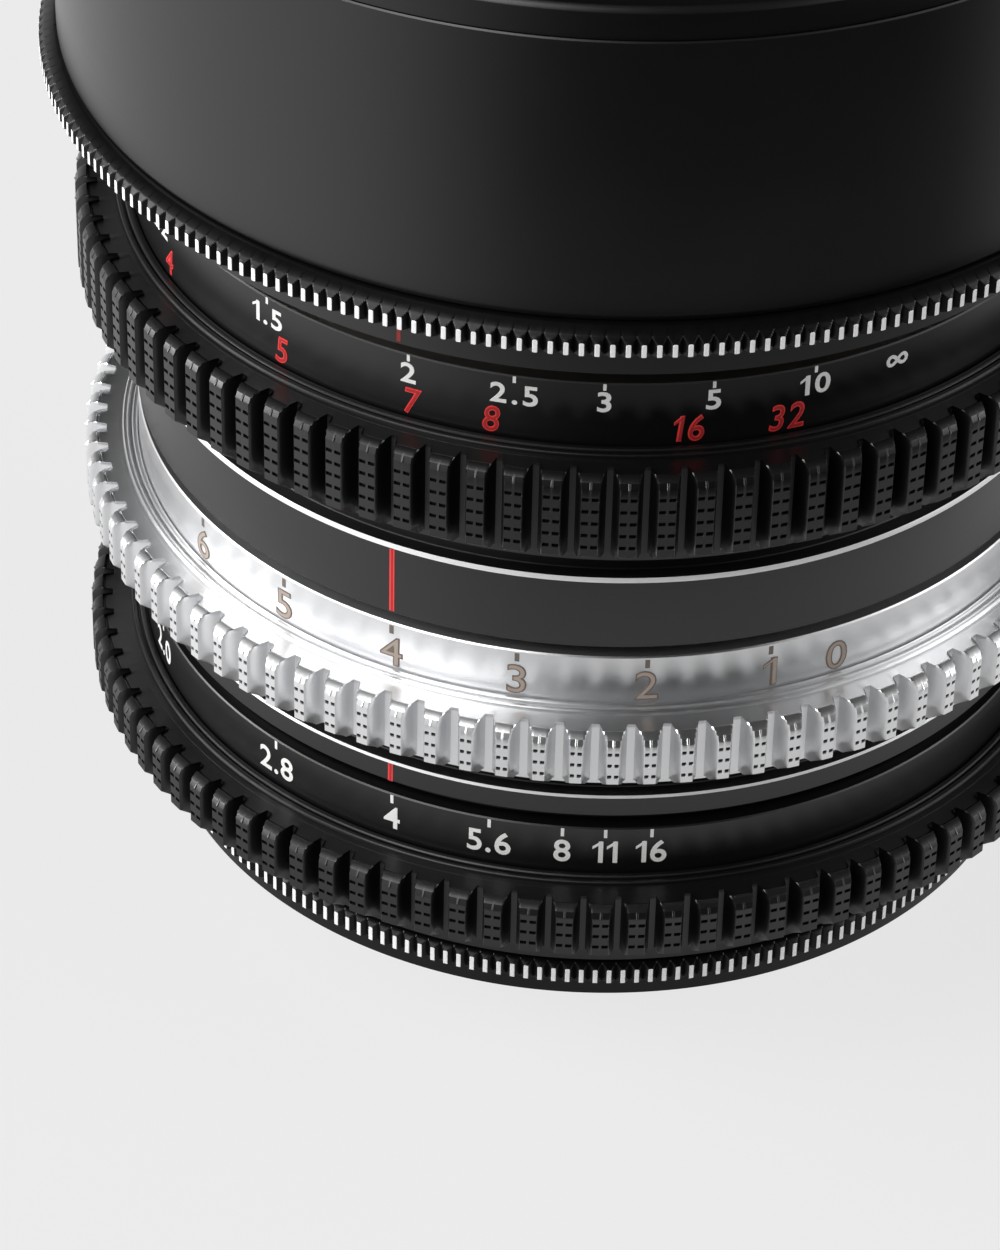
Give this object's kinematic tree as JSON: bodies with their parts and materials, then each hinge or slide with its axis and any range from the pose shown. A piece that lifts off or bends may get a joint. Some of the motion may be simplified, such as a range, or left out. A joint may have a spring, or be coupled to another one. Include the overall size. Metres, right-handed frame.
{
  "type": "petzval lens",
  "caption": "Petzval camera lens with geared focus, bokeh and aperture rings, moving front barrel, iris and bayonet mount.",
  "frame": {"origin": "centre of the mount flange's seat, on the optical axis", "axes": "+Z along the optical axis towards the front of the lens; the index lines face -Y"},
  "size_m": [0.081, 0.081, 0.0927],
  "materials": {
    "satin_black": "black anodised aluminium, fine satin",
    "ring_black": "black anodised aluminium with white and red engraved scales",
    "barrel_black": "black anodised aluminium, satin, polished edge line",
    "knurled_black": "black anodised aluminium, knurl lands worn or cut bare",
    "bare_aluminium": "bare turned and milled aluminium",
    "baffle_black": "flat black anti-reflection paint",
    "inner_aluminium": "black anodised aluminium, machined",
    "brass": "machined brass",
    "mount_chrome": "chromed brass, fine turned",
    "screw_steel": "blackened and plain steel",
    "blade_steel": "blued spring steel",
    "washer_plastic": "slippery white plastic",
    "coated_glass": "polished and coated optical glass",
    "index_red": "red enamel"
  },
  "bodies": {
    "barrel": {"main_tube": "barrel_black", "rear_housing": "barrel_black", "rear_knurled_ring": "knurled_black", "mount_flange": "mount_chrome", "mount_screws": "screw_steel", "mount_index_bead": "index_red", "rear_baffle": "baffle_black", "rear_index_band": "barrel_black", "mid_barrel": "barrel_black", "band_set_screws": "screw_steel", "focus_retaining_ring": "inner_aluminium", "guide_keys": "brass", "guide_key_screws": "screw_steel", "aperture_washer": "washer_plastic", "bokeh_washer": "washer_plastic", "focus_washer": "washer_plastic"},
    "aperture_ring": {"aperture_ring": "ring_black", "aperture_fork": "inner_aluminium"},
    "bokeh_ring": {"bokeh_ring": "bare_aluminium", "bokeh_tongue": "inner_aluminium"},
    "focus_ring": {"focus_ring": "ring_black", "focus_nut": "brass"},
    "front_unit": {"helicoid_carrier": "inner_aluminium", "front_index_ring": "barrel_black", "front_knurled_ring": "knurled_black", "front_drum": "satin_black", "front_drum_screws": "screw_steel", "filter_ring": "satin_black", "front_baffle": "baffle_black", "front_cell": "inner_aluminium", "front_crown": "coated_glass", "front_flint": "coated_glass", "front_retaining_ring": "baffle_black", "unit_clamp_ring": "inner_aluminium", "optical_tube": "inner_aluminium", "iris_housing": "inner_aluminium", "iris_spacer": "baffle_black", "rear_cell": "inner_aluminium", "rear_crown": "coated_glass", "rear_spacer": "baffle_black", "rear_flint": "coated_glass", "rear_retaining_ring": "baffle_black", "cam_sleeve_retainer": "inner_aluminium"},
    "iris_ring": {"iris_cam_ring": "inner_aluminium", "iris_drive_bar": "inner_aluminium"},
    "bokeh_sleeve": {"bokeh_cam_sleeve": "brass"},
    "bokeh_group": {"bokeh_cell": "inner_aluminium", "bokeh_element": "coated_glass", "cam_pins": "screw_steel", "bokeh_retaining_ring": "baffle_black"},
    "iris_blade_1": {"iris_blade_1": "blade_steel"},
    "iris_blade_2": {"iris_blade_2": "blade_steel"},
    "iris_blade_3": {"iris_blade_3": "blade_steel"},
    "iris_blade_4": {"iris_blade_4": "blade_steel"},
    "iris_blade_5": {"iris_blade_5": "blade_steel"},
    "iris_blade_6": {"iris_blade_6": "blade_steel"},
    "iris_blade_7": {"iris_blade_7": "blade_steel"},
    "iris_blade_8": {"iris_blade_8": "blade_steel"}
  },
  "joints": [
    {"name": "focus_turn", "type": "hinge", "parent": "barrel", "child": "focus_ring", "pos_m": [0, 0, 0.05], "axis": [0, 0, 1], "range_deg": [-57.6, 220.4]},
    {"name": "front_unit_slide", "type": "slide", "parent": "barrel", "child": "front_unit", "axis": [0, 0, 1], "range_m": [-0.00164, 0.00626]},
    {"name": "aperture_turn", "type": "hinge", "parent": "barrel", "child": "aperture_ring", "pos_m": [0, 0, 0.0144], "axis": [0, 0, 1], "range_deg": [-31.7, 60.6]},
    {"name": "iris_ring_turn", "type": "hinge", "parent": "front_unit", "child": "iris_ring", "pos_m": [0, 0, 0.0508], "axis": [0, 0, 1], "range_deg": [-31.8, 60.7]},
    {"name": "bokeh_turn", "type": "hinge", "parent": "barrel", "child": "bokeh_ring", "pos_m": [0, 0, 0.0284], "axis": [0, 0, 1], "range_deg": [-45.75, 45.75]},
    {"name": "bokeh_sleeve_turn", "type": "hinge", "parent": "front_unit", "child": "bokeh_sleeve", "pos_m": [0, 0, 0.0288], "axis": [0, 0, 1], "range_deg": [-45.85, 45.85]},
    {"name": "bokeh_group_slide", "type": "slide", "parent": "front_unit", "child": "bokeh_group", "axis": [0, 0, 1], "range_m": [-0.00301, 0.00301]},
    {"name": "iris_blade_1_swing", "type": "hinge", "parent": "front_unit", "child": "iris_blade_1", "pos_m": [0.0212, 0, 0.0517], "axis": [0, 0, 1], "range_deg": [-10.7, 20.35]},
    {"name": "iris_blade_2_swing", "type": "hinge", "parent": "front_unit", "child": "iris_blade_2", "pos_m": [0.01499, 0.01499, 0.0517], "axis": [0, 0, 1], "range_deg": [-10.7, 20.35]},
    {"name": "iris_blade_3_swing", "type": "hinge", "parent": "front_unit", "child": "iris_blade_3", "pos_m": [0, 0.0212, 0.0517], "axis": [0, 0, 1], "range_deg": [-10.7, 20.35]},
    {"name": "iris_blade_4_swing", "type": "hinge", "parent": "front_unit", "child": "iris_blade_4", "pos_m": [-0.01499, 0.01499, 0.0517], "axis": [0, 0, 1], "range_deg": [-10.7, 20.35]},
    {"name": "iris_blade_5_swing", "type": "hinge", "parent": "front_unit", "child": "iris_blade_5", "pos_m": [-0.0212, 0, 0.0517], "axis": [0, 0, 1], "range_deg": [-10.7, 20.35]},
    {"name": "iris_blade_6_swing", "type": "hinge", "parent": "front_unit", "child": "iris_blade_6", "pos_m": [-0.01499, -0.01499, 0.0517], "axis": [0, 0, 1], "range_deg": [-10.7, 20.35]},
    {"name": "iris_blade_7_swing", "type": "hinge", "parent": "front_unit", "child": "iris_blade_7", "pos_m": [0, -0.0212, 0.0517], "axis": [0, 0, 1], "range_deg": [-10.7, 20.35]},
    {"name": "iris_blade_8_swing", "type": "hinge", "parent": "front_unit", "child": "iris_blade_8", "pos_m": [0.01499, -0.01499, 0.0517], "axis": [0, 0, 1], "range_deg": [-10.7, 20.35]}
  ],
  "couplings": [
    {"joint": "front_unit_slide", "follows": "focus_turn", "m_per_rad": 0.0016234},
    {"joint": "iris_ring_turn", "follows": "aperture_turn", "ratio": 1},
    {"joint": "bokeh_sleeve_turn", "follows": "bokeh_turn", "ratio": 1},
    {"joint": "bokeh_group_slide", "follows": "bokeh_turn", "m_per_rad": 0.0037571},
    {"joint": "iris_blade_1_swing", "follows": "aperture_turn", "ratio": 0.3337},
    {"joint": "iris_blade_2_swing", "follows": "aperture_turn", "ratio": 0.3337},
    {"joint": "iris_blade_3_swing", "follows": "aperture_turn", "ratio": 0.3337},
    {"joint": "iris_blade_4_swing", "follows": "aperture_turn", "ratio": 0.3337},
    {"joint": "iris_blade_5_swing", "follows": "aperture_turn", "ratio": 0.3337},
    {"joint": "iris_blade_6_swing", "follows": "aperture_turn", "ratio": 0.3337},
    {"joint": "iris_blade_7_swing", "follows": "aperture_turn", "ratio": 0.3337},
    {"joint": "iris_blade_8_swing", "follows": "aperture_turn", "ratio": 0.3337}
  ]
}
